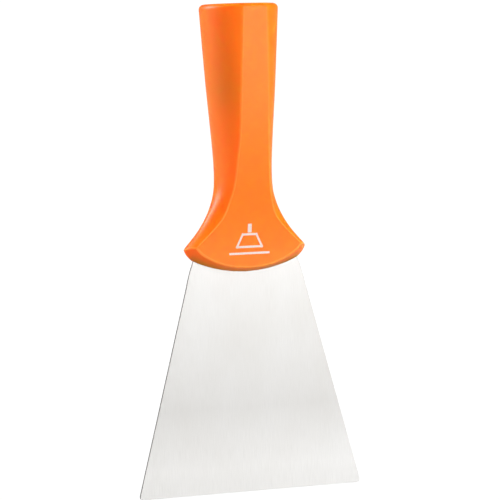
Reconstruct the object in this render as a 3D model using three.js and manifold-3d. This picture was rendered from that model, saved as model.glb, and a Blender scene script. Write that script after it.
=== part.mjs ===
// Flexible putty knife: one sheet of hardened stainless steel, held in a one-piece moulded
// handle whose end is a threaded socket for an extension pole.
//
// Millimetres. +Z runs up from the working edge to the handle's end, +X along the working
// edge, and the front face looks towards -Y. The origin is the middle of the working edge.

import * as THREE from 'three';
import { mergeVertices } from 'three/addons/utils/BufferGeometryUtils.js';
import Module from 'manifold-3d';

const wasm = await Module();
wasm.setup();

// ---- Driving dimensions -------------------------------------------------------------

const FIT_GAP = 0.3; // clearance between pieces that touch

// Blade, as half an outline
const EDGE_WIDTH = 100; // the working edge
const BLADE_THICKNESS = 0.8;
const SIDE_TAPER = 0.28; // half-width lost per millimetre of height
const EDGE_CORNER = 1.8;
const SHOULDER_Z = 83; // the straight side ends here and the rounded shoulder starts
const SHOULDER_BEND = { x: 25.5, z: 88.5 };
const HEAD_ENTRY = { x: 23.4, z: 93.6 }; // where the sheet's side meets the head
const FLEX_Z = 75.7; // the flexing leaf turns about a line at this height
const FLEX_RELIEF = 0.15; // each half of the sheet stops this far from that line

// Tang: the part of the sheet inside the handle
const TANG_SHOULDER = { x: 20.5, z: 97 };
const TANG_NECK = { x: 6.5, z: 119 };
const TANG_TOP_Z = 140;
const ANCHOR_HOLES = [
  { x: 0, z: 104.5, radius: 3.5 },
  { x: -12, z: 100.5, radius: 2.5 },
  { x: 12, z: 100.5, radius: 2.5 },
  { x: 0, z: 122, radius: 2.5 },
  { x: 0, z: 133, radius: 2.5 },
];
const STUD_LENGTH = 4; // a moulded stud bridges the tang's slot through each hole
const SLOT_SIDE_GAP = 0.38; // measured along X, which leaves the fit gap square to the tapers

// Handle: an oval section, as [height, size] pairs
const HALF_WIDTHS = [[84, 40], [91, 34], [98.3, 27.2], [106, 20.2], [114, 15.15],
  [122, 12.2], [134, 11.6], [165, 13.9], [196, 16]];
const HALF_DEPTHS = [[84, 10], [99, 9.2], [106, 7.9], [112, 7.95], [120, 10.35],
  [130, 12.35], [160, 14.6], [196, 16]];
// The flats on the front and the back, as [height, distance from the middle plane]
const FLAT_DEPTHS = [[84, 3.95], [100, 4.2], [112, 5.75], [126, 8.9], [150, 12.25],
  [196, 15.15]];
const HANDLE_BASE_Z = 84;
const FLARE_TOP_Z = 130;
const HANDLE_TOP_Z = 196;
const RIM_RADIUS = 2;

// Underside of the head, as [x, height] pairs out to the tip. The inner line is where the
// plastic meets the sheet, the outer line is the lower edge of the flat, and a bevel
// joins them.
const UNDERSIDE_INNER = [[0, 88.6], [8, 89.2], [15, 90.6], [20.5, 92.3], [23.6, 93.8],
  [25.8, 95.8], [27.25, 98.3]];
const UNDERSIDE_OUTER = [[0, 90.4], [7.6, 90.95], [13.8, 92.7], [18.5, 94.9], [21, 96.4],
  [22.6, 97.8], [23.8, 99]];
const UNDERSIDE_OUTER_Y = 4.15; // the outer line's distance from the middle plane

// Pole socket in the handle's end
const SOCKET_RADIUS = 11;
const SOCKET_LEAD_IN = 1.2;
const SOCKET_WALL_END_Z = 160;
const SOCKET_FLOOR_Z = 152;
const SOCKET_FLOOR_RADIUS = 7;
const THREAD_PITCH = 5;
const THREAD_RIDGE_RADIUS = 1.15; // a round ridge, centred on the socket's wall
const THREAD_START_Z = 162.5;
const THREAD_TURNS = 5.5;

const CLEAR = 10; // how far a cutting shape runs past what it cuts

// How finely the curves are divided
const OVAL_SEGMENTS = 56;
const HEAD_LEVELS = 18;
const GRIP_LEVELS = 8;
const FLAT_LEVELS = 28;
const RIM_STEPS = 3;
const UNDERSIDE_SEGMENTS = 48;
const CORNER_SEGMENTS = 8;
const HOLE_SEGMENTS = 20;
const SOCKET_SEGMENTS = 40;
const THREAD_SEGMENTS_PER_TURN = 24;
const THREAD_SECTION_SEGMENTS = 4;

// ---- Helpers ------------------------------------------------------------------------

// A smooth function of height through [height, value] pairs.
function smooth(pairs) {
  const heights = Float32Array.from(pairs, (pair) => pair[0]);
  const values = Float32Array.from(pairs, (pair) => pair[1]);
  const curve = new THREE.CubicInterpolant(heights, values, 1);
  return (height) => curve.evaluate(height)[0];
}

// Evenly spaced numbers from start to end.
function spread(start, end, steps) {
  return Array.from({ length: steps + 1 }, (_, i) => start + (end - start) * i / steps);
}

// A closed geometry through rings that all have the same number of points.
function loft(rings) {
  const count = rings[0].length;
  const faces = [];
  for (let ring = 0; ring < rings.length - 1; ring += 1) {
    for (let i = 0; i < count; i += 1) {
      const here = ring * count + i;
      const next = ring * count + (i + 1) % count;
      faces.push(here, next, next + count, here, next + count, here + count);
    }
  }
  const last = (rings.length - 1) * count;
  for (let i = 1; i < count - 1; i += 1) {
    faces.push(0, i + 1, i, last, last + i, last + i + 1);
  }
  const geometry = new THREE.BufferGeometry().setFromPoints(rings.flat());
  geometry.setIndex(faces);
  return geometry;
}

// A symmetric outline from its right half, which starts and ends on the middle line.
function mirrored(rightHalf, curveSegments) {
  const right = rightHalf.getPoints(curveSegments);
  const left = right.slice(1, -1).reverse().map((point) => new THREE.Vector2(-point.x, point.y));
  return new THREE.Shape([...right, ...left]);
}

// A solid plate: an outline in X and Z with a thickness centred on the middle plane.
function plate(outline, thickness) {
  const geometry = new THREE.ExtrudeGeometry(outline, { depth: thickness, bevelEnabled: false });
  geometry.translate(0, 0, -thickness / 2);
  return toSolid(geometry.rotateX(Math.PI / 2));
}

function block(width, depth, zLow, zHigh) {
  const geometry = new THREE.BoxGeometry(width, depth, zHigh - zLow);
  return toSolid(geometry.translate(0, 0, (zLow + zHigh) / 2));
}

// A round bar along Y.
function crossBar(x, z, radius, length) {
  const geometry = new THREE.CylinderGeometry(radius, radius, length, HOLE_SEGMENTS);
  return toSolid(geometry.translate(x, 0, z));
}

function toSolid(geometry) {
  const bare = geometry.clone();
  bare.deleteAttribute('normal');
  bare.deleteAttribute('uv');
  const merged = mergeVertices(bare);
  return new wasm.Manifold(new wasm.Mesh({
    numProp: 3,
    vertProperties: merged.attributes.position.array,
    triVerts: Uint32Array.from(merged.index.array),
  }));
}

function toGeometry(solid) {
  const mesh = solid.getMesh();
  const geometry = new THREE.BufferGeometry();
  geometry.setAttribute('position', new THREE.BufferAttribute(mesh.vertProperties, 3));
  geometry.setIndex(new THREE.BufferAttribute(mesh.triVerts, 1));
  geometry.computeVertexNormals();
  return geometry;
}

// ---- Blade --------------------------------------------------------------------------

const sideX = (z) => EDGE_WIDTH / 2 - SIDE_TAPER * z;

// The whole sheet from the working edge to the end of the tang. Grow widens the part that
// lies in the handle, which gives the slot that the tang sits in.
function sheetOutline(grow = 0) {
  const half = new THREE.Path();
  half.moveTo(0, 0);
  half.lineTo(EDGE_WIDTH / 2 - EDGE_CORNER, 0);
  half.quadraticCurveTo(EDGE_WIDTH / 2, 0, sideX(EDGE_CORNER), EDGE_CORNER);
  half.lineTo(sideX(SHOULDER_Z) + grow, SHOULDER_Z);
  half.quadraticCurveTo(SHOULDER_BEND.x + grow, SHOULDER_BEND.z, HEAD_ENTRY.x + grow, HEAD_ENTRY.z);
  half.lineTo(TANG_SHOULDER.x + grow, TANG_SHOULDER.z);
  half.lineTo(TANG_NECK.x + grow, TANG_NECK.z);
  half.absarc(0, TANG_TOP_Z - TANG_NECK.x, TANG_NECK.x + grow, 0, Math.PI / 2, false);
  return mirrored(half, CORNER_SEGMENTS);
}

function bladeLeaf() {
  const sheet = plate(sheetOutline(), BLADE_THICKNESS);
  return sheet.subtract(block(EDGE_WIDTH, CLEAR, FLEX_Z - FLEX_RELIEF, TANG_TOP_Z + CLEAR));
}

function bladeTang() {
  let tang = plate(sheetOutline(), BLADE_THICKNESS);
  tang = tang.subtract(block(EDGE_WIDTH + CLEAR, CLEAR, -CLEAR, FLEX_Z + FLEX_RELIEF));
  for (const hole of ANCHOR_HOLES) {
    tang = tang.subtract(crossBar(hole.x, hole.z, hole.radius, CLEAR));
  }
  return tang;
}

// ---- Handle -------------------------------------------------------------------------

function ovalRing(z, halfWidth, halfDepth) {
  return spread(0, 2 * Math.PI, OVAL_SEGMENTS).slice(0, -1).map((angle) => (
    new THREE.Vector3(halfWidth * Math.cos(angle), halfDepth * Math.sin(angle), z)));
}

// The oval body with its rounded rim, before the flats and the underside are cut.
function ovalBody() {
  const halfWidth = smooth(HALF_WIDTHS);
  const halfDepth = smooth(HALF_DEPTHS);
  const rimZ = HANDLE_TOP_Z - RIM_RADIUS;
  const headLevels = spread(HANDLE_BASE_Z, FLARE_TOP_Z, HEAD_LEVELS);
  const levels = [...headLevels, ...spread(FLARE_TOP_Z, rimZ, GRIP_LEVELS).slice(1)];
  const rings = levels.map((z) => ovalRing(z, halfWidth(z), halfDepth(z)));
  for (const angle of spread(0, Math.PI / 2, RIM_STEPS).slice(1)) {
    const inset = RIM_RADIUS * (1 - Math.cos(angle));
    const z = rimZ + RIM_RADIUS * Math.sin(angle);
    rings.push(ovalRing(z, halfWidth(rimZ) - inset, halfDepth(rimZ) - inset));
  }
  return toSolid(loft(rings));
}

// The space between the front and the back flat, wider than the head.
function flatsBody() {
  const flatDepth = smooth(FLAT_DEPTHS);
  const rimZ = HANDLE_TOP_Z - RIM_RADIUS;
  const half = new THREE.Path();
  half.moveTo(0, HANDLE_BASE_Z);
  spread(HANDLE_BASE_Z, rimZ, FLAT_LEVELS).forEach((z) => half.lineTo(flatDepth(z), z));
  half.absarc(flatDepth(rimZ) - RIM_RADIUS, rimZ, RIM_RADIUS, 0, Math.PI / 2, false);
  half.lineTo(0, HANDLE_TOP_Z);
  const outline = mirrored(half, RIM_STEPS);
  const geometry = new THREE.ExtrudeGeometry(outline, { depth: EDGE_WIDTH, bevelEnabled: false });
  geometry.translate(0, 0, -EDGE_WIDTH / 2);
  const alongX = new THREE.Matrix4().makeBasis(
    new THREE.Vector3(0, 1, 0), new THREE.Vector3(0, 0, 1), new THREE.Vector3(1, 0, 0),
  );
  return toSolid(geometry.applyMatrix4(alongX));
}

// A line of the underside from the left tip to the right tip, and on past both tips.
function undersideLine(rightHalf) {
  const right = rightHalf.map(([x, z]) => new THREE.Vector2(x, z));
  const left = right.slice(1).reverse().map((point) => new THREE.Vector2(-point.x, point.y));
  const points = new THREE.SplineCurve([...left, ...right]).getPoints(UNDERSIDE_SEGMENTS);
  const beyond = (tip, inner) => tip.clone().sub(inner).setLength(3 * CLEAR).add(tip);
  const pastRight = beyond(right.at(-1), right.at(-2));
  return [new THREE.Vector2(-pastRight.x, pastRight.y), ...points, pastRight];
}

// Everything below the head: a flat strip along the sheet and a bevel on either side.
function undersideCut() {
  const inner = undersideLine(UNDERSIDE_INNER);
  const outer = undersideLine(UNDERSIDE_OUTER);
  const stripY = BLADE_THICKNESS / 2 + FIT_GAP;
  const farY = 2 * UNDERSIDE_OUTER_Y;
  const reach = (farY - stripY) / (UNDERSIDE_OUTER_Y - stripY);
  const lowZ = HANDLE_BASE_Z - CLEAR;
  return toSolid(loft(inner.map((point, i) => {
    const far = point.clone().lerp(outer[i], reach);
    return [
      new THREE.Vector3(point.x, -stripY, point.y),
      new THREE.Vector3(far.x, -farY, far.y),
      new THREE.Vector3(far.x, -farY, lowZ),
      new THREE.Vector3(far.x, farY, lowZ),
      new THREE.Vector3(far.x, farY, far.y),
      new THREE.Vector3(point.x, stripY, point.y),
    ];
  })));
}

// The socket's bore: a lead-in at the mouth, a straight wall and a coned floor.
function socketBore() {
  const profile = [
    [0, SOCKET_FLOOR_Z],
    [SOCKET_FLOOR_RADIUS, SOCKET_FLOOR_Z],
    [SOCKET_RADIUS, SOCKET_WALL_END_Z],
    [SOCKET_RADIUS, HANDLE_TOP_Z - SOCKET_LEAD_IN],
    [SOCKET_RADIUS + SOCKET_LEAD_IN, HANDLE_TOP_Z],
    [SOCKET_RADIUS + SOCKET_LEAD_IN, HANDLE_TOP_Z + CLEAR],
    [0, HANDLE_TOP_Z + CLEAR],
  ].map(([radius, z]) => new THREE.Vector2(radius, z));
  return toSolid(new THREE.LatheGeometry(profile, SOCKET_SEGMENTS).rotateX(Math.PI / 2));
}

class Helix extends THREE.Curve {
  getPoint(t, target = new THREE.Vector3()) {
    const angle = 2 * Math.PI * THREAD_TURNS * t;
    const z = THREAD_START_Z + THREAD_PITCH * THREAD_TURNS * t;
    return target.set(SOCKET_RADIUS * Math.cos(angle), SOCKET_RADIUS * Math.sin(angle), z);
  }
}

function threadRidge() {
  const section = new THREE.Shape();
  section.absarc(0, 0, THREAD_RIDGE_RADIUS, 0, 2 * Math.PI);
  return toSolid(new THREE.ExtrudeGeometry(section, {
    extrudePath: new Helix(),
    steps: THREAD_SEGMENTS_PER_TURN * THREAD_TURNS,
    curveSegments: THREAD_SECTION_SEGMENTS,
  }));
}

function handleMoulding() {
  let handle = ovalBody().intersect(flatsBody()).subtract(undersideCut());
  handle = handle.subtract(socketBore()).add(threadRidge());
  const slot = plate(sheetOutline(SLOT_SIDE_GAP), BLADE_THICKNESS + 2 * FIT_GAP);
  handle = handle.subtract(slot);
  for (const hole of ANCHOR_HOLES) {
    handle = handle.add(crossBar(hole.x, hole.z, hole.radius - FIT_GAP, STUD_LENGTH));
  }
  return handle;
}

// ---- Assembly -----------------------------------------------------------------------

function piece(name, solid, look) {
  const mesh = new THREE.Mesh(toGeometry(solid), new THREE.MeshStandardMaterial(look));
  mesh.name = name;
  return mesh;
}

const orangePolypropylene = { color: 0xf5852a, roughness: 0.38, metalness: 0 };
const brushedSteel = { color: 0xdcdad6, roughness: 0.32, metalness: 1 };

const puttyKnife = new THREE.Group();
puttyKnife.add(piece('handle_moulding', handleMoulding(), orangePolypropylene));
puttyKnife.add(piece('blade_tang', bladeTang(), brushedSteel));
puttyKnife.add(piece('blade_leaf', bladeLeaf(), brushedSteel));

export default puttyKnife;
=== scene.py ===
import math

import bmesh
import bpy
import numpy as np
from mathutils import Matrix, Vector


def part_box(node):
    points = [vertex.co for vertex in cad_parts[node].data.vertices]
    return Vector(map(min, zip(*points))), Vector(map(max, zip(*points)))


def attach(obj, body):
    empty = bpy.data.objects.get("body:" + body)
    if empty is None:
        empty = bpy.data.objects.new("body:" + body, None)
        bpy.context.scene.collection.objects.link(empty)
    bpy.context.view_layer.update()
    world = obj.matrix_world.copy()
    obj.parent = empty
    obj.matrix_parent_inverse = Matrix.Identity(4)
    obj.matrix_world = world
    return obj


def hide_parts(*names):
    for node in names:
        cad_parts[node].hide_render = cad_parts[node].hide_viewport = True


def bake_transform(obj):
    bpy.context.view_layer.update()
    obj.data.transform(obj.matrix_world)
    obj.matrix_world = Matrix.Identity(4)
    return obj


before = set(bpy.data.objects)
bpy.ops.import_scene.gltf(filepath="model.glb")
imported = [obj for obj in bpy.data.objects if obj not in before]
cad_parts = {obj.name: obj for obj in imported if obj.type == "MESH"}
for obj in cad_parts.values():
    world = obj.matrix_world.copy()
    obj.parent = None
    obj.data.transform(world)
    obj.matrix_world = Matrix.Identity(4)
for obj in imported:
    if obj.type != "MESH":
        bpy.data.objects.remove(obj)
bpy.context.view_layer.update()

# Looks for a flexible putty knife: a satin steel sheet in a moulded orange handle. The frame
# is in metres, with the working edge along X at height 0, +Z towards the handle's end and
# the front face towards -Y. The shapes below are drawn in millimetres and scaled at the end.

MM = 0.001

# ---- Sizes, in millimetres, as in the CAD model --------------------------------------

HANDLE_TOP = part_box("handle_moulding")[1].z / MM
HALF_WIDTHS = ((84, 40), (91, 34), (98.3, 27.2), (106, 20.2), (114, 15.15), (122, 12.2),
               (134, 11.6), (165, 13.9), (196, 16))
HALF_DEPTHS = ((84, 10), (99, 9.2), (106, 7.9), (112, 7.95), (120, 10.35), (130, 12.35),
               (160, 14.6), (196, 16))
FLAT_DEPTHS = ((84, 3.95), (100, 4.2), (112, 5.75), (126, 8.9), (150, 12.25), (196, 15.15))
UNDERSIDE_INNER = ((0, 88.6), (8, 89.2), (15, 90.6), (20.5, 92.3), (23.6, 93.8),
                   (25.8, 95.8), (27.25, 98.3))
UNDERSIDE_OUTER = ((0, 90.4), (7.6, 90.95), (13.8, 92.7), (18.5, 94.9), (21, 96.4),
                   (22.6, 97.8), (23.8, 99))
UNDERSIDE_OUTER_Y = 4.15
RIM_RADIUS = 2

SOCKET_RADIUS = 11
SOCKET_LEAD_IN = 1.2
SOCKET_WALL_END = 160
SOCKET_FLOOR = 152
SOCKET_FLOOR_RADIUS = 7
THREAD_PITCH = 5
THREAD_HEIGHT = 1.15
THREAD_START = 162.5
THREAD_TURNS = 5.5

EDGE_WIDTH = 100
SIDE_TAPER = 0.28
EDGE_CORNER = 1.8
SHOULDER = 83
SHOULDER_BEND = (25.5, 88.5)
HEAD_ENTRY = (23.4, 93.6)
TANG_SHOULDER = (20.5, 97)
TANG_NECK = (6.5, 119)
TANG_TOP = 140
ANCHOR_HOLES = (  # x, height and radius
    (0, 104.5, 3.5),
    (-12, 100.5, 2.5),
    (12, 100.5, 2.5),
    (0, 122, 2.5),
    (0, 133, 2.5),
)
BLADE_THICKNESS = 0.8

# Sizes that only the fine model has
CREASE_FILLET_HEAD = 0.28  # the rounding of the edge between flat and side, at the head
CREASE_FILLET_TOP = 0.5    # the same at the handle's end
CREASE_FILLET_FROM = 100   # the rounding grows from this height upwards
UNDERSIDE_FILLET = 0.5
SLOT_LIP_FILLET = 0.3
SLOT_CLEARANCE = 0.02      # between the sheet and the plastic, on each side
SLOT_HALF = BLADE_THICKNESS / 2 + SLOT_CLEARANCE
SLOT_DEPTH = 2.5
SLOT_ENDS = (23.7, 24.2)   # the slot closes between these distances from the middle
THREAD_FADE = 0.25         # the turns over which the ridge rises at either end
BLADE_CHAMFER = 0.1

# The printed mark, as half-widths and heights
MARK_BLADE_TOP = (3.1, 103.7)
MARK_BLADE_EDGE = (5.6, 98.7)
MARK_SURFACE = (8.6, 96.1)
MARK_HANDLE = (105.3, 107.1)  # from one height to another, on the middle line
MARK_STROKE = 0.85
MARK_INK = 0.03               # how far the ink stands proud of the flat

# Heights in metres between which the painted light along the working edge fades out: the steel is
# painted brighter low down, standing in for the floor's light reflected in the lower blade
PAINTED_LIGHT_BAND = (0.010, 0.034)


# ---- Curves --------------------------------------------------------------------------

def smooth(pairs):
    """A smooth function through (place, value) pairs, by cubic pieces."""
    places, values = np.array(pairs, float).T
    steps = np.diff(places)
    rises = np.diff(values) / steps
    slopes = np.empty(len(values))
    slopes[1:-1] = (values[2:] - values[:-2]) / (places[2:] - places[:-2])
    slopes[0] = 1.5 * rises[0] - 0.5 * slopes[1]
    slopes[-1] = 1.5 * rises[-1] - 0.5 * slopes[-2]

    def curve(at):
        i = np.clip(np.searchsorted(places, at) - 1, 0, len(steps) - 1)
        t = (at - places[i]) / steps[i]
        start = (1 + 2 * t) * (1 - t) ** 2 * values[i] + t * (1 - t) ** 2 * steps[i] * slopes[i]
        end = t * t * (3 - 2 * t) * values[i + 1] + t * t * (t - 1) * steps[i] * slopes[i + 1]
        return start + end
    return curve


def underside_line(right_half, count=120):
    """A line of the head's underside from the middle to the right tip, and on past it."""
    points = np.array(right_half, float)
    before = points[1] * (-1, 1)
    controls = np.vstack([before, points, points[-1]])
    t = np.linspace(0, len(points) - 1, count)
    i = np.minimum(t.astype(int), len(points) - 2)
    f = (t - i)[:, None]
    p0, p1, p2, p3 = (controls[i + k] for k in range(4))
    v0 = (p2 - p0) / 2
    v1 = (p3 - p1) / 2
    square = 3 * (p2 - p1) - 2 * v0 - v1
    cube = 2 * (p1 - p2) + v0 + v1
    line = p1 + f * v0 + f ** 2 * square + f ** 3 * cube
    last_step = points[-1] - points[-2]
    return np.vstack([line, points[-1] + 6 * last_step])


half_width = smooth(HALF_WIDTHS)
half_depth = smooth(HALF_DEPTHS)
flat_depth = smooth(FLAT_DEPTHS)
inner_line = underside_line(UNDERSIDE_INNER)
outer_line = underside_line(UNDERSIDE_OUTER)


def crease_fillet(z):
    share = np.clip((z - CREASE_FILLET_FROM) / (HANDLE_TOP - CREASE_FILLET_FROM), 0, 1)
    return CREASE_FILLET_HEAD + (CREASE_FILLET_TOP - CREASE_FILLET_HEAD) * share


def underside_height(x, y):
    """The height of the bevelled underside over a point of the XY plane."""
    out = np.clip((np.abs(y) - SLOT_HALF) / (UNDERSIDE_OUTER_Y - SLOT_HALF), 0, 1.4)
    heights = np.empty(len(out))
    for k, share in enumerate(out):
        line = inner_line * (1 - share) + outer_line * share
        heights[k] = np.interp(abs(x[k]), line[:, 0], line[:, 1])
    return heights


# ---- Mesh helpers --------------------------------------------------------------------

def ring_mesh(name, rings, shade_angle=35, painted_highlight=None):
    """A closed mesh from rings of points in millimetres. Rings that close up are merged.

    A painted-highlight share, where given, is a number for each point, kept as a mesh attribute; it
    paints the plastic a lighter orange there, as painted highlight."""
    rows, columns = rings.shape[:2]
    bm = bmesh.new()
    layer = bm.verts.layers.float.new("painted_edge_highlight") if painted_highlight is not None else None
    grid = [[bm.verts.new(Vector(p) * MM) for p in ring] for ring in rings]
    if painted_highlight is not None:
        for points, values in zip(grid, painted_highlight):
            for point, value in zip(points, values):
                point[layer] = value
    for r in range(rows - 1):
        for c in range(columns):
            d = (c + 1) % columns
            bm.faces.new((grid[r][c], grid[r][d], grid[r + 1][d], grid[r + 1][c]))
    bmesh.ops.remove_doubles(bm, verts=bm.verts, dist=0.004 * MM)
    bmesh.ops.dissolve_degenerate(bm, edges=bm.edges, dist=0.001 * MM)
    bmesh.ops.recalc_face_normals(bm, faces=bm.faces)
    return finish_mesh(name, bm, shade_angle)


def finish_mesh(name, bm, shade_angle=35):
    mesh = bpy.data.meshes.new(name)
    bm.to_mesh(mesh)
    bm.free()
    mesh.shade_smooth()
    mesh.set_sharp_from_angle(angle=math.radians(shade_angle))
    piece = bpy.data.objects.new(name, mesh)
    bpy.context.scene.collection.objects.link(piece)
    return piece


def bend(a, b, c, count):
    """Points on a round corner from a to c, with b where the two sides would meet."""
    t = np.linspace(0, 1, count)[:, None, None]
    return (1 - t) ** 2 * a + 2 * t * (1 - t) * b + t * t * c


# ---- Handle --------------------------------------------------------------------------

FLAT_COLUMNS = 10
CREASE_COLUMNS = 5
SIDE_COLUMNS = 24
QUARTER = FLAT_COLUMNS + CREASE_COLUMNS + SIDE_COLUMNS + 1
LIP_ROWS = 4
BEVEL_ROWS = 7
UNDERSIDE_ROWS = 6
SIDE_ROWS = 130
SIDE_ROWS_CROWDING = 1.3  # above 1, the side's rows lie closer together near the head
RIM_ROWS = 8
SOCKET_ROW_STEP = 0.3
HEAD_SEARCH = (87, 106)   # the head's lower edge lies between these heights
HEAD_SEARCH_STEPS = 36


def quarter_section(z):
    """Points from the middle of the front round to the middle of the side.

    Each has its own height, which z gives as an array."""
    a, b, f = half_width(z), half_depth(z), flat_depth(z)
    corner = np.arccos(np.clip(f / b, -1, 1))
    speed = np.hypot(a * np.cos(corner), b * np.sin(corner))
    side_start = corner + crease_fillet(z) / speed
    flat_end = a * np.sin(corner) - crease_fillet(z)
    reach = (b * np.cos(side_start) - f) / (b * np.sin(side_start))
    meet = a * np.sin(side_start) + reach * a * np.cos(side_start)
    x, y = np.empty(len(z)), np.empty(len(z))
    for k in range(len(z)):
        if k <= FLAT_COLUMNS:
            x[k] = flat_end[k] * (1 - (1 - k / FLAT_COLUMNS) ** 2)
            y[k] = f[k]
        elif k < FLAT_COLUMNS + CREASE_COLUMNS:
            t = (k - FLAT_COLUMNS) / CREASE_COLUMNS
            end = (a[k] * math.sin(side_start[k]), b[k] * math.cos(side_start[k]))
            x[k] = (1 - t) ** 2 * flat_end[k] + 2 * t * (1 - t) * meet[k] + t * t * end[0]
            y[k] = (1 - t ** 2) * f[k] + t * t * end[1]
        else:
            t = (k - FLAT_COLUMNS - CREASE_COLUMNS) / SIDE_COLUMNS
            angle = side_start[k] + (math.pi / 2 - side_start[k]) * t
            x[k] = a[k] * math.sin(angle)
            y[k] = b[k] * math.cos(angle)
    return np.stack([x, -y, z], 1)


def head_boundary():
    """The height at which each column of the outside meets the underside's bevel."""
    low, high = (np.full(QUARTER, float(height)) for height in HEAD_SEARCH)
    for _ in range(HEAD_SEARCH_STEPS):
        middle = (low + high) / 2
        points = quarter_section(middle)
        above = points[:, 2] > underside_height(points[:, 0], points[:, 1])
        high = np.where(above, middle, high)
        low = np.where(above, low, middle)
    return high


def inner_points(edge):
    """Where each column's bevel reaches the sheet, spaced along the line as the edge is."""
    def shares(points):
        steps = np.linalg.norm(np.diff(points, axis=0), axis=1)
        along = np.concatenate([[0], np.cumsum(steps)])
        return along / along[-1]
    share = shares(edge)
    tip = edge[-1, [0, 2]]
    line = np.vstack([inner_line[inner_line[:, 0] < tip[0]], tip])
    x = np.interp(share, shares(line), line[:, 0])
    z = np.interp(share, shares(line), line[:, 1])
    closing, closed = SLOT_ENDS
    y = SLOT_HALF * np.clip((closed - x) / (closed - closing), 0, 1)
    return np.stack([x, -y, z], 1)


def towards(start, end, distance):
    """Points on the way from start to end, at a distance, or halfway where that is less."""
    step = end - start
    length = np.linalg.norm(step, axis=1)[:, None]
    return start + step * np.minimum(distance / np.maximum(length, 1e-6), 0.45)


def quarter_outside():
    """The quarter's rows from the slot's ceiling, over the bevel and up to the rim."""
    bottom = head_boundary()
    edge = quarter_section(bottom)
    inner = inner_points(edge)

    def on_bevel(points):
        lifted = points.copy()
        lifted[:, 2] = underside_height(points[:, 0], points[:, 1])
        return lifted

    wall = inner + (0, 0, 1) * (SLOT_DEPTH * np.abs(inner[:, 1:2]) / SLOT_HALF)
    ceiling = wall * (1, 0, 1)
    lip_low = on_bevel(towards(inner, edge, SLOT_LIP_FILLET))
    lip_high = towards(inner, wall, SLOT_LIP_FILLET)
    bevel_end = on_bevel(towards(edge, inner, UNDERSIDE_FILLET))
    tightness = np.clip(np.linalg.norm(edge - inner, axis=1) / 2, 0.1, 1)
    side_start = quarter_section(bottom + UNDERSIDE_FILLET * tightness)
    rows = [ceiling, wall]
    rows += list(bend(lip_high[None], inner[None], lip_low[None], LIP_ROWS))
    for t in np.linspace(0, 1, BEVEL_ROWS)[1:-1]:
        rows.append(on_bevel(lip_low + (bevel_end - lip_low) * t))
    rows += list(bend(bevel_end[None], edge[None], side_start[None], UNDERSIDE_ROWS))
    start = side_start[:, 2]
    rim = HANDLE_TOP - RIM_RADIUS
    for t in np.linspace(0, 1, SIDE_ROWS)[1:]:
        rows.append(quarter_section(start + (rim - start) * t ** SIDE_ROWS_CROWDING))
    return [row.reshape(QUARTER, 3) for row in rows]


def quarter_painted_highlight(rows):
    """How much painted highlight each point of the quarter gets: 1 along the creases and the head's
    lower edge, where their rounding catches light.
    """
    painted_highlight = np.zeros((rows, QUARTER))
    crease = slice(FLAT_COLUMNS, FLAT_COLUMNS + CREASE_COLUMNS + 1)
    side_start = rows - SIDE_ROWS
    painted_highlight[side_start:, crease] = np.linspace(1, 0.25, SIDE_ROWS)[:, None]
    painted_highlight[side_start - UNDERSIDE_ROWS + 2:side_start + 1] = 1
    return painted_highlight


def whole_ring(quarter):
    """The four quarters of a ring, from the middle of the front round to the right."""
    right_front = quarter
    right_back = quarter[-2::-1] * (1, -1, 1)
    left_back = quarter[1:] * (-1, -1, 1)
    left_front = quarter[-2:0:-1] * (-1, 1, 1)
    return np.vstack([right_front, right_back, left_back, left_front])


def mirrored_ring(values):
    """Values for the points of a whole ring, from those of a quarter."""
    return np.concatenate([values, values[-2::-1], values[1:], values[-2:0:-1]])


def socket_radius(angle, z):
    """The socket's wall with its round thread ridge, which fades in and out at its ends."""
    turns = (z - THREAD_START) / THREAD_PITCH - angle / (2 * math.pi)
    from_crest = np.abs(turns - np.round(turns)) * THREAD_PITCH / THREAD_HEIGHT
    ridge = THREAD_HEIGHT * np.sqrt(np.clip(1 - from_crest ** 2, 0, 1))
    travelled = np.round(turns) + angle / (2 * math.pi)
    fade_in = np.clip(travelled / THREAD_FADE, 0, 1)
    fade_out = np.clip((THREAD_TURNS - travelled) / THREAD_FADE, 0, 1)
    return SOCKET_RADIUS - ridge * fade_in * fade_out


def socket_rings(angles):
    """Rings from the handle's end face down the socket to the middle of its floor."""
    lead_in = HANDLE_TOP - SOCKET_LEAD_IN
    mouth = SOCKET_RADIUS + SOCKET_LEAD_IN
    rounded_mouth = (
        (mouth + 0.35, HANDLE_TOP),
        (mouth + 0.1, HANDLE_TOP - 0.06),
        (mouth - 0.2, HANDLE_TOP - 0.3),
        (SOCKET_RADIUS + 0.15, lead_in + 0.05),
        (SOCKET_RADIUS, lead_in - SOCKET_ROW_STEP),
    )
    rounded_floor = (
        (SOCKET_RADIUS, SOCKET_WALL_END),
        (SOCKET_RADIUS - 0.3, SOCKET_WALL_END - 0.5),
        (SOCKET_FLOOR_RADIUS + 0.4, SOCKET_FLOOR + 0.7),
        (SOCKET_FLOOR_RADIUS - 0.5, SOCKET_FLOOR),
        (0, SOCKET_FLOOR),
    )
    rings = [ring_of(np.full(len(angles), radius), angles, z) for radius, z in rounded_mouth]
    for z in np.arange(lead_in - 2 * SOCKET_ROW_STEP, SOCKET_WALL_END, -SOCKET_ROW_STEP):
        rings.append(ring_of(socket_radius(angles % (2 * math.pi), z), angles, z))
    rings += [ring_of(np.full(len(angles), radius), angles, z) for radius, z in rounded_floor]
    return rings


def ring_of(radius, angles, z):
    """A level ring whose points each have their own radius."""
    return np.stack([radius * np.sin(angles), -radius * np.cos(angles), np.full(len(angles), z)], 1)


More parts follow.
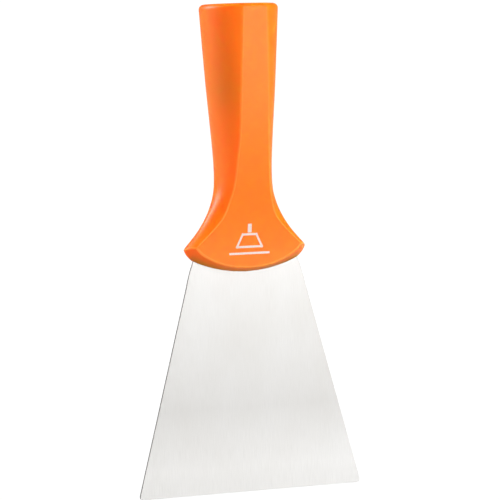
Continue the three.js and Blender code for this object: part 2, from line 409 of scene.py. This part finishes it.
def handle():
    quarters = quarter_outside()
    rings = [whole_ring(row) for row in quarters]
    # Shares of painted highlight for each ring; the rim and the socket get none.
    painted_highlight = [mirrored_ring(row) for row in quarter_painted_highlight(len(quarters))]
    rim = rings[-1]
    reach = np.linalg.norm(rim[:, :2], axis=1)[:, None]
    for turn in np.linspace(0, math.pi / 2, RIM_ROWS + 1)[1:]:
        inset = RIM_RADIUS * (1 - math.cos(turn))
        ring = rim.copy()
        ring[:, :2] *= 1 - inset / reach
        ring[:, 2] += RIM_RADIUS * math.sin(turn)
        rings.append(ring)
    angles = np.arctan2(rim[:, 0], -rim[:, 1])
    rings += socket_rings(angles)
    painted_highlight += [np.zeros(len(angles))] * (len(rings) - len(painted_highlight))
    return ring_mesh("handle", np.array(rings), painted_highlight=painted_highlight)


# ---- Printed mark --------------------------------------------------------------------

INK_ROWS = 13


def stroke(points, width):
    """The outline of a straight stroke of ink, with its ends cut square."""
    (x0, z0), (x1, z1) = points
    along = Vector((x1 - x0, z1 - z0)).normalized() * width / 2
    side = Vector((-along.y, along.x))
    start, end = Vector((x0, z0)) - along, Vector((x1, z1)) + along
    return [start - side, end - side, end + side, start + side]


def mark():
    """A generic pictogram of a blade over a surface, printed on the front flat."""
    top_right, low_right, surface_right = MARK_BLADE_TOP, MARK_BLADE_EDGE, MARK_SURFACE
    top_left, low_left, surface_left = ((-x, z) for x, z in (top_right, low_right, surface_right))
    lines = (
        (top_left, top_right),
        (top_right, low_right),
        (low_right, low_left),
        (low_left, top_left),
        (surface_left, surface_right),
    )
    bm = bmesh.new()
    for points in lines:
        add_ink(bm, stroke(points, MARK_STROKE))
    add_ink(bm, stroke([(0, height) for height in MARK_HANDLE], 2 * MARK_STROKE))
    return finish_mesh("front_mark", bm)


def add_ink(bm, outline):
    """A thin closed layer of ink on the front flat, which it follows up and down."""
    corners = np.array([[p.x, p.y] for p in outline])
    share = np.linspace(0, 1, INK_ROWS)[:, None, None]
    rows = corners[None, [0, 3]] * (1 - share) + corners[None, [1, 2]] * share
    sides = []
    for proud in (MARK_INK, -MARK_INK):
        grid = []
        for row in rows:
            points = [Vector((x, -float(flat_depth(z)) - proud, z)) for x, z in row]
            grid.append([bm.verts.new(point * MM) for point in points])
        sides.append(grid)
    front, back = sides
    last = len(rows) - 1
    for k in range(last):
        bm.faces.new((front[k][0], front[k][1], front[k + 1][1], front[k + 1][0]))
        bm.faces.new((back[k][1], back[k][0], back[k + 1][0], back[k + 1][1]))
        for side in (0, 1):
            bm.faces.new((front[k][side], back[k][side], back[k + 1][side], front[k + 1][side]))
    for k in (0, last):
        bm.faces.new((front[k][0], front[k][1], back[k][1], back[k][0]))
    bmesh.ops.recalc_face_normals(bm, faces=bm.faces)


# ---- Blade ---------------------------------------------------------------------------

SHEET_COLUMNS = 28
LEAF_ROW_STEP = 1.25
TANG_ROW_STEP = 2
FIRST_STRAIGHT_ROW = 3  # the height where the evenly spaced rows start
SHOULDER_ROWS = 12
CUTTER_LENGTH = 6


def sheet_half_width(z):
    """Half the sheet's width at each height, from the working edge to the tang's end."""
    z = np.asarray(z, float)
    t = np.linspace(0, 1, 24)
    start = (EDGE_WIDTH / 2 - SIDE_TAPER * SHOULDER, SHOULDER)
    curve = [(1 - t) ** 2 * s + 2 * t * (1 - t) * m + t * t * e
             for s, m, e in zip(start, SHOULDER_BEND, HEAD_ENTRY)]
    heights = [0, *curve[1], TANG_SHOULDER[1], TANG_NECK[1], TANG_TOP]
    widths = [EDGE_WIDTH / 2, *curve[0], TANG_SHOULDER[0], TANG_NECK[0], TANG_NECK[0]]
    width = np.interp(z, heights, widths)
    corner = np.clip(EDGE_CORNER - z, 0, EDGE_CORNER)
    width = width - (EDGE_CORNER - np.sqrt(EDGE_CORNER ** 2 - corner ** 2))
    end = np.clip(z - (TANG_TOP - TANG_NECK[0]), 0, TANG_NECK[0])
    return width - (TANG_NECK[0] - np.sqrt(TANG_NECK[0] ** 2 - end ** 2))


def sheet_ring(z, half_thickness):
    """One ring round the sheet at a height, with its two long edges chamfered."""
    width = float(sheet_half_width(z))
    chamfer = min(BLADE_CHAMFER, width / 2)
    across = np.linspace(-1, 1, SHEET_COLUMNS) * (width - chamfer)
    narrow = max(half_thickness - BLADE_CHAMFER, 0)
    front = [(x, -half_thickness, z) for x in across]
    right = [(width, -narrow, z), (width, narrow, z)]
    back = [(x, half_thickness, z) for x in across[::-1]]
    left = [(-width, narrow, z), (-width, -narrow, z)]
    return front + right + back + left


def blade():
    corner = EDGE_CORNER * (1 - np.cos(np.linspace(0, math.pi / 2, 9)))
    tang_end = TANG_TOP - TANG_NECK[0] * (1 - np.sin(np.linspace(0, math.pi / 2, 12)))
    heights = np.concatenate([
        [BLADE_CHAMFER],
        corner[corner > 2 * BLADE_CHAMFER],
        np.arange(FIRST_STRAIGHT_ROW, SHOULDER, LEAF_ROW_STEP),
        np.linspace(SHOULDER, HEAD_ENTRY[1], SHOULDER_ROWS),
        np.arange(TANG_SHOULDER[1], tang_end[0] - 1, TANG_ROW_STEP),
        tang_end[:-1],
    ])
    half = BLADE_THICKNESS / 2
    rings = [sheet_ring(0, 0), sheet_ring(0, half - BLADE_CHAMFER)]
    rings += [sheet_ring(z, half) for z in heights]
    rings += [sheet_ring(TANG_TOP, half), sheet_ring(TANG_TOP, 0)]
    piece = ring_mesh("blade", np.array(rings), shade_angle=25)
    drill(piece)
    return piece


def drill(sheet):
    """Cuts the tang's anchor holes."""
    bm = bmesh.new()
    for x, z, radius in ANCHOR_HOLES:
        place = Matrix.Translation(Vector((x, 0, z)) * MM) @ Matrix.Rotation(math.pi / 2, 4, "X")
        bmesh.ops.create_cone(
            bm, cap_ends=True, segments=32, radius1=radius * MM, radius2=radius * MM,
            depth=CUTTER_LENGTH * MM, matrix=place,
        )
    cutter = finish_mesh("hole_cutter", bm)
    modifier = sheet.modifiers.new("holes", "BOOLEAN")
    modifier.operation = "DIFFERENCE"
    modifier.object = cutter
    modifier.solver = "EXACT"
    depsgraph = bpy.context.evaluated_depsgraph_get()
    drilled = bpy.data.meshes.new_from_object(sheet.evaluated_get(depsgraph))
    sheet.modifiers.clear()
    sheet.data = drilled
    bpy.data.objects.remove(cutter)


# ---- Camera, light and floor ---------------------------------------------------------

LIGHT_AIM = Vector((0, 0, 0.12))
FLOOR_RADIUS = 9
FLOOR_DROP = 0.0002  # keeps the floor just clear of the working edge


def add_camera():
    azimuth, elevation, roll = (math.radians(angle) for angle in (-27, 2.57, 1.574))
    distance = 1.37959
    target = Vector((0.002316, 0, 0.097157))
    level = math.cos(elevation)
    back = Vector((math.sin(azimuth) * level, -math.cos(azimuth) * level, math.sin(elevation)))
    right = Vector((0, 0, 1)).cross(back).normalized()
    up = back.cross(right)
    leaned_right = right * math.cos(roll) - up * math.sin(roll)
    leaned_up = up * math.cos(roll) + right * math.sin(roll)
    data = bpy.data.cameras.new("camera")
    data.sensor_width = 36
    data.lens = 246.97
    data.clip_end = 20
    camera = bpy.data.objects.new("camera", data)
    turn = Matrix((leaned_right, leaned_up, back)).transposed().to_4x4()
    camera.matrix_world = Matrix.Translation(target + back * distance) @ turn
    bpy.context.scene.collection.objects.link(camera)
    bpy.context.scene.camera = camera


def softbox(name, azimuth, distance, height, size, radiance, mirrored=True):
    """An even rectangular light facing the object. A radiance of 1 would show as white.

    A light that isn't mirrored only lights matt colours and makes no highlight."""
    data = bpy.data.lights.new(name, "AREA")
    data.shape = "RECTANGLE"
    data.size, data.size_y = size
    data.energy = radiance * math.pi * size[0] * size[1]
    light = bpy.data.objects.new(name, data)
    angle = math.radians(azimuth)
    place = Vector((math.sin(angle) * distance, -math.cos(angle) * distance, height))
    light.location = place
    light.rotation_euler = (LIGHT_AIM - place).to_track_quat("-Z", "Y").to_euler()
    light.visible_glossy = mirrored
    bpy.context.scene.collection.objects.link(light)


def add_world(lighting, shown):
    """A plain white backdrop that lights the object less than it shows."""
    world = bpy.data.worlds.new("studio")
    bpy.context.scene.world = world
    world.use_nodes = True
    nodes, links = world.node_tree.nodes, world.node_tree.links
    nodes.clear()
    output = nodes.new("ShaderNodeOutputWorld")
    mix = nodes.new("ShaderNodeMixShader")
    path = nodes.new("ShaderNodeLightPath")
    for socket, strength in ((1, lighting), (2, shown)):
        background = nodes.new("ShaderNodeBackground")
        background.inputs["Color"].default_value = (1, 1, 1, 1)
        background.inputs["Strength"].default_value = strength
        links.new(background.outputs[0], mix.inputs[socket])
    links.new(path.outputs["Is Camera Ray"], mix.inputs[0])
    links.new(mix.outputs[0], output.inputs[0])


def add_floor(albedo, mirrored, shown):
    """A plain white floor. Most of its light is kept from the object's matt colours."""
    bm = bmesh.new()
    bmesh.ops.create_circle(bm, cap_ends=True, radius=FLOOR_RADIUS, segments=64)
    floor = finish_mesh("floor", bm)
    floor.location.z = -FLOOR_DROP
    material, shader = new_material("floor_paper")
    nodes, links = material.node_tree.nodes, material.node_tree.links
    shader.inputs["Base Color"].default_value = (albedo, albedo, albedo, 1)
    shader.inputs["Roughness"].default_value = 0.9
    path = nodes.new("ShaderNodeLightPath")
    last = shader.outputs[0]
    for ray, strength in (("Is Glossy Ray", mirrored), ("Is Camera Ray", shown)):
        glow = nodes.new("ShaderNodeEmission")
        glow.inputs["Strength"].default_value = strength
        mix = nodes.new("ShaderNodeMixShader")
        links.new(path.outputs[ray], mix.inputs[0])
        links.new(last, mix.inputs[1])
        links.new(glow.outputs[0], mix.inputs[2])
        last = mix.outputs[0]
    links.new(last, nodes["Material Output"].inputs[0])
    floor.data.materials.append(material)


# ---- Materials -----------------------------------------------------------------------

def new_material(name):
    material = bpy.data.materials.new(name)
    material.use_nodes = True
    return material, material.node_tree.nodes["Principled BSDF"]


class Nodes:
    """Short calls for the nodes that the materials below share."""

    def __init__(self, material):
        self.nodes = material.node_tree.nodes
        self.links = material.node_tree.links
        self.coordinates = self.nodes.new("ShaderNodeTexCoord").outputs["Object"]

    def stretched(self, x, y, z):
        mapping = self.nodes.new("ShaderNodeMapping")
        mapping.inputs["Scale"].default_value = (x, y, z)
        self.links.new(self.coordinates, mapping.inputs["Vector"])
        return mapping.outputs[0]

    def noise(self, vector, scale, detail=3, roughness=0.5):
        noise = self.nodes.new("ShaderNodeTexNoise")
        noise.inputs["Scale"].default_value = scale
        noise.inputs["Detail"].default_value = detail
        noise.inputs["Roughness"].default_value = roughness
        self.links.new(vector, noise.inputs["Vector"])
        return noise.outputs[0]

    def spread(self, value, low, high, start=0.3, end=0.7):
        """Maps a value from start..end to low..high."""
        spread = self.nodes.new("ShaderNodeMapRange")
        limits = {"From Min": start, "From Max": end, "To Min": low, "To Max": high}
        for name, number in limits.items():
            spread.inputs[name].default_value = number
        self.links.new(value, spread.inputs["Value"])
        return spread.outputs[0]

    def height(self):
        separate = self.nodes.new("ShaderNodeSeparateXYZ")
        self.links.new(self.coordinates, separate.inputs[0])
        return separate.outputs["Z"]

    def attribute(self, name):
        attribute = self.nodes.new("ShaderNodeAttribute")
        attribute.attribute_name = name
        return attribute.outputs["Fac"]

    def mix(self, share, first, second):
        mix = self.nodes.new("ShaderNodeMix")
        mix.data_type = "RGBA"
        mix.inputs["A"].default_value = (*first, 1) if isinstance(first, tuple) else (0, 0, 0, 1)
        mix.inputs["B"].default_value = (*second, 1) if isinstance(second, tuple) else (0, 0, 0, 1)
        for socket, value in (("Factor", share), ("A", first), ("B", second)):
            if not isinstance(value, tuple):
                self.links.new(value, mix.inputs[socket])
        return next(o for o in mix.outputs if o.type == "RGBA")

    def bump(self, height, strength, distance, below=None):
        bump = self.nodes.new("ShaderNodeBump")
        bump.inputs["Strength"].default_value = strength
        bump.inputs["Distance"].default_value = distance
        self.links.new(height, bump.inputs["Height"])
        if below is not None:
            self.links.new(below, bump.inputs["Normal"])
        return bump.outputs[0]


def orange_plastic():
    """Satin polypropylene, slightly translucent, with a fine moulded texture."""
    material, shader = new_material("orange_polypropylene")
    n = Nodes(material)
    place = n.coordinates
    clouds = n.spread(n.noise(place, 60, 2), 0, 1)
    colour = n.mix(clouds, (1, 0.164, 0.002), (1, 0.174, 0.003))
    # Painted highlight: a lighter orange along the creases and the head's lower edge, standing in
    # for the light that their rounding catches.
    painted_highlight_colour = n.mix(n.attribute("painted_edge_highlight"), colour, (1, 0.25, 0.03))
    n.links.new(painted_highlight_colour, shader.inputs["Base Color"])
    n.links.new(n.spread(n.noise(place, 900, 3), 0.36, 0.44), shader.inputs["Roughness"])
    grain = n.bump(n.noise(place, 2600, 2), 0.05, 0.00004)
    waves = n.bump(n.noise(place, 45, 1), 0.06, 0.0004, grain)
    n.links.new(waves, shader.inputs["Normal"])
    shader.inputs["IOR"].default_value = 1.49
    shader.inputs["Specular IOR Level"].default_value = 0.32
    shader.inputs["Subsurface Weight"].default_value = 0.75
    shader.inputs["Subsurface Radius"].default_value = (1, 0.08, 0.03)
    shader.inputs["Subsurface Scale"].default_value = 0.013
    return material


def white_ink():
    """Printed ink, a little thin and uneven, so that the plastic tints it."""
    material, shader = new_material("white_ink")
    n = Nodes(material)
    cover = n.spread(n.noise(n.coordinates, 2500, 3), 0, 1)
    n.links.new(n.mix(cover, (0.60, 0.44, 0.39), (0.63, 0.55, 0.52)), shader.inputs["Base Color"])
    n.links.new(n.spread(cover, 0.4, 0.55), shader.inputs["Roughness"])
    n.links.new(n.bump(cover, 0.05, 0.00002), shader.inputs["Normal"])
    shader.inputs["Specular IOR Level"].default_value = 0.3
    return material


def satin_steel():
    """The sheet's faces: fine grain along the blade, with faint cloudy polish marks, and painted
    light that makes the steel brighter near the working edge.
    """
    material, shader = new_material("satin_steel")
    n = Nodes(material)
    grain = n.noise(n.stretched(1, 1, 0.03), 5200, 3, 0.6)
    clouds = n.noise(n.stretched(1, 1, 0.6), 38, 3)
    upper = n.mix(n.spread(clouds, 0, 1), (0.65, 0.64, 0.62), (0.69, 0.685, 0.675))
    # Painted light: a brighter copy of the steel near the working edge, standing in for the floor's
    # light on the lower blade; it fades out upwards across the band.
    painted_lower_light = n.mix(n.spread(clouds, 0, 1), (0.83, 0.82, 0.80), (0.87, 0.865, 0.85))
    colour = n.mix(n.spread(n.height(), 1, 0, *PAINTED_LIGHT_BAND), upper, painted_lower_light)
    streaked = n.mix(n.spread(grain, 0, 0.25), colour, (0.60, 0.59, 0.57))
    n.links.new(streaked, shader.inputs["Base Color"])
    n.links.new(n.spread(grain, 0.44, 0.54), shader.inputs["Roughness"])
    n.links.new(n.bump(grain, 0.04, 0.00002), shader.inputs["Normal"])
    shader.inputs["Metallic"].default_value = 1
    return material


def cut_steel():
    """The sheet's narrow edges, rougher and darker than its faces."""
    material, shader = new_material("cut_steel")
    n = Nodes(material)
    streaks = n.noise(n.stretched(1, 0.1, 1), 2400, 3)
    colour = n.mix(n.spread(streaks, 0, 1), (0.10, 0.095, 0.09), (0.22, 0.21, 0.2))
    n.links.new(colour, shader.inputs["Base Color"])
    n.links.new(n.spread(streaks, 0.45, 0.6), shader.inputs["Roughness"])
    n.links.new(n.bump(streaks, 0.3, 0.00004), shader.inputs["Normal"])
    shader.inputs["Metallic"].default_value = 1
    return material


def paint_cut_edges(sheet):
    """Gives the second material to all but the sheet's two broad faces."""
    for face in sheet.data.polygons:
        if abs(face.normal.y) < 0.5:
            face.material_index = 1


# ---- The model -----------------------------------------------------------------------

bpy.context.scene.view_settings.view_transform = "Standard"
add_camera()
add_world(lighting=0.15, shown=1.05)
add_floor(albedo=0.6, mirrored=0.82, shown=1.05)
softbox(
    "key", azimuth=31, distance=0.6, height=0.66, size=(0.45, 0.45), radiance=11.5,
    mirrored=False,
)
softbox("front_card", azimuth=27, distance=0.6, height=0.3, size=(0.34, 0.5), radiance=4.2)
softbox("rear_left", azimuth=-124, distance=0.6, height=0.47, size=(0.36, 0.36), radiance=13.5)

handle_piece = handle()
handle_piece.data.materials.append(orange_plastic())
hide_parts("handle_moulding")
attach(handle_piece, "handle")

mark_piece = mark()
mark_piece.data.materials.append(white_ink())
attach(mark_piece, "handle")

blade_piece = blade()
blade_piece.data.materials.clear()
blade_piece.data.materials.append(satin_steel())
blade_piece.data.materials.append(cut_steel())
paint_cut_edges(blade_piece)
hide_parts("blade_tang", "blade_leaf")
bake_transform(blade_piece)
